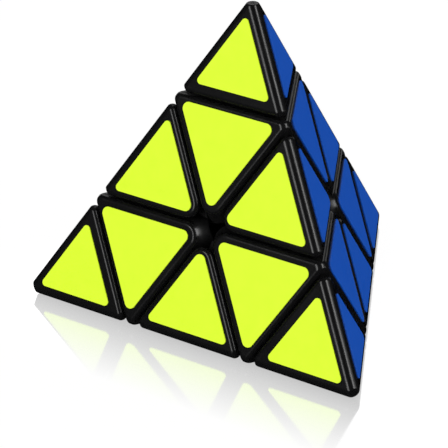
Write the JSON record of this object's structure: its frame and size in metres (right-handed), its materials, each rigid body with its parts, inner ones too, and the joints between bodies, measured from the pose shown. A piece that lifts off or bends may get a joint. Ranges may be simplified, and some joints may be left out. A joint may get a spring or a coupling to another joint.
{
  "type": "pyramid twisty puzzle",
  "caption": "Tetrahedral twisty puzzle with turning corner tips and turning corner layers, black mouldings with coloured stickers on each face.",
  "frame": {"origin": "middle of the core, where the four turning axes meet, which is the centroid of the puzzle", "axes": "+Z through the top corner, the puzzle rests on the face below; the front (yellow) face looks towards -Y and +X is to its right"},
  "size_m": [0.098, 0.0853, 0.0806],
  "materials": {
    "shell_plastic": "satin-gloss black ABS",
    "inner_plastic": "satin black ABS",
    "sticker_yellow": "fluorescent lemon vinyl film",
    "sticker_blue": "blue vinyl film",
    "sticker_green": "green vinyl film",
    "sticker_red": "red vinyl film",
    "screw_steel": "zinc-plated steel",
    "spring_steel": "bright spring wire"
  },
  "bodies": {
    "core": {"core_spider": "inner_plastic", "axle_screws": "screw_steel", "screw_washers": "screw_steel", "axle_springs": "spring_steel"},
    "axial_top": {"axial_top_shell": "shell_plastic", "axial_top_sticker_blue": "sticker_blue", "axial_top_sticker_green": "sticker_green", "axial_top_sticker_yellow": "sticker_yellow"},
    "tip_top": {"tip_top_cap": "shell_plastic", "tip_top_sticker_blue": "sticker_blue", "tip_top_sticker_green": "sticker_green", "tip_top_sticker_yellow": "sticker_yellow"},
    "axial_left": {"axial_left_shell": "shell_plastic", "axial_left_sticker_red": "sticker_red", "axial_left_sticker_green": "sticker_green", "axial_left_sticker_yellow": "sticker_yellow"},
    "tip_left": {"tip_left_cap": "shell_plastic", "tip_left_sticker_red": "sticker_red", "tip_left_sticker_green": "sticker_green", "tip_left_sticker_yellow": "sticker_yellow"},
    "axial_right": {"axial_right_shell": "shell_plastic", "axial_right_sticker_red": "sticker_red", "axial_right_sticker_blue": "sticker_blue", "axial_right_sticker_yellow": "sticker_yellow"},
    "tip_right": {"tip_right_cap": "shell_plastic", "tip_right_sticker_red": "sticker_red", "tip_right_sticker_blue": "sticker_blue", "tip_right_sticker_yellow": "sticker_yellow"},
    "axial_back": {"axial_back_shell": "shell_plastic", "axial_back_sticker_red": "sticker_red", "axial_back_sticker_blue": "sticker_blue", "axial_back_sticker_green": "sticker_green"},
    "tip_back": {"tip_back_cap": "shell_plastic", "tip_back_sticker_red": "sticker_red", "tip_back_sticker_blue": "sticker_blue", "tip_back_sticker_green": "sticker_green"},
    "edge_top_left": {"edge_top_left_shell": "shell_plastic", "edge_top_left_foot": "inner_plastic", "edge_top_left_sticker_green": "sticker_green", "edge_top_left_sticker_yellow": "sticker_yellow"},
    "edge_top_right": {"edge_top_right_shell": "shell_plastic", "edge_top_right_foot": "inner_plastic", "edge_top_right_sticker_blue": "sticker_blue", "edge_top_right_sticker_yellow": "sticker_yellow"},
    "edge_top_back": {"edge_top_back_shell": "shell_plastic", "edge_top_back_foot": "inner_plastic", "edge_top_back_sticker_blue": "sticker_blue", "edge_top_back_sticker_green": "sticker_green"},
    "edge_left_right": {"edge_left_right_shell": "shell_plastic", "edge_left_right_foot": "inner_plastic", "edge_left_right_sticker_red": "sticker_red", "edge_left_right_sticker_yellow": "sticker_yellow"},
    "edge_right_back": {"edge_right_back_shell": "shell_plastic", "edge_right_back_foot": "inner_plastic", "edge_right_back_sticker_red": "sticker_red", "edge_right_back_sticker_blue": "sticker_blue"},
    "edge_left_back": {"edge_left_back_shell": "shell_plastic", "edge_left_back_foot": "inner_plastic", "edge_left_back_sticker_red": "sticker_red", "edge_left_back_sticker_green": "sticker_green"}
  },
  "joints": [
    {"name": "layer_top_turn", "type": "hinge", "parent": "core", "child": "axial_top", "pos_m": [0, 0, 0], "axis": [0, 0, 1], "range_deg": [-240, 120]},
    {"name": "layer_left_turn", "type": "hinge", "parent": "core", "child": "axial_left", "pos_m": [0, 0, 0], "axis": [-0.8165, -0.4714, -0.3333], "range_deg": [-240, 120]},
    {"name": "layer_right_turn", "type": "hinge", "parent": "core", "child": "axial_right", "pos_m": [0, 0, 0], "axis": [0.8165, -0.4714, -0.3333], "range_deg": [-240, 120]},
    {"name": "layer_back_turn", "type": "hinge", "parent": "core", "child": "axial_back", "pos_m": [0, 0, 0], "axis": [0, 0.9428, -0.3333], "range_deg": [-240, 120]},
    {"name": "tip_top_turn", "type": "hinge", "parent": "axial_top", "child": "tip_top", "pos_m": [0, 0, 0], "axis": [0, 0, 1], "continuous": true},
    {"name": "tip_left_turn", "type": "hinge", "parent": "axial_left", "child": "tip_left", "pos_m": [0, 0, 0], "axis": [-0.8165, -0.4714, -0.3333], "continuous": true},
    {"name": "tip_right_turn", "type": "hinge", "parent": "axial_right", "child": "tip_right", "pos_m": [0, 0, 0], "axis": [0.8165, -0.4714, -0.3333], "continuous": true},
    {"name": "tip_back_turn", "type": "hinge", "parent": "axial_back", "child": "tip_back", "pos_m": [0, 0, 0], "axis": [0, 0.9428, -0.3333], "continuous": true},
    {"name": "edge_top_left_turn", "type": "hinge", "parent": "axial_top", "child": "edge_top_left", "pos_m": [0, 0, 0], "axis": [-0.8165, -0.4714, -0.3333], "range_deg": [-240, 120]},
    {"name": "edge_top_right_turn", "type": "hinge", "parent": "axial_top", "child": "edge_top_right", "pos_m": [0, 0, 0], "axis": [0.8165, -0.4714, -0.3333], "range_deg": [-240, 120]},
    {"name": "edge_top_back_turn", "type": "hinge", "parent": "axial_top", "child": "edge_top_back", "pos_m": [0, 0, 0], "axis": [0, 0.9428, -0.3333], "range_deg": [-240, 120]},
    {"name": "edge_left_right_turn", "type": "hinge", "parent": "axial_left", "child": "edge_left_right", "pos_m": [0, 0, 0], "axis": [0.8165, -0.4714, -0.3333], "range_deg": [-240, 120]},
    {"name": "edge_right_back_turn", "type": "hinge", "parent": "axial_right", "child": "edge_right_back", "pos_m": [0, 0, 0], "axis": [0, 0.9428, -0.3333], "range_deg": [-240, 120]},
    {"name": "edge_left_back_turn", "type": "hinge", "parent": "axial_back", "child": "edge_left_back", "pos_m": [0, 0, 0], "axis": [-0.8165, -0.4714, -0.3333], "range_deg": [-240, 120]}
  ],
  "couplings": [
    {"joint": "edge_top_left_turn", "follows": "layer_left_turn", "ratio": 1},
    {"joint": "edge_top_right_turn", "follows": "layer_right_turn", "ratio": 1},
    {"joint": "edge_top_back_turn", "follows": "layer_back_turn", "ratio": 1},
    {"joint": "edge_left_right_turn", "follows": "layer_right_turn", "ratio": 1},
    {"joint": "edge_right_back_turn", "follows": "layer_back_turn", "ratio": 1},
    {"joint": "edge_left_back_turn", "follows": "layer_left_turn", "ratio": 1}
  ]
}
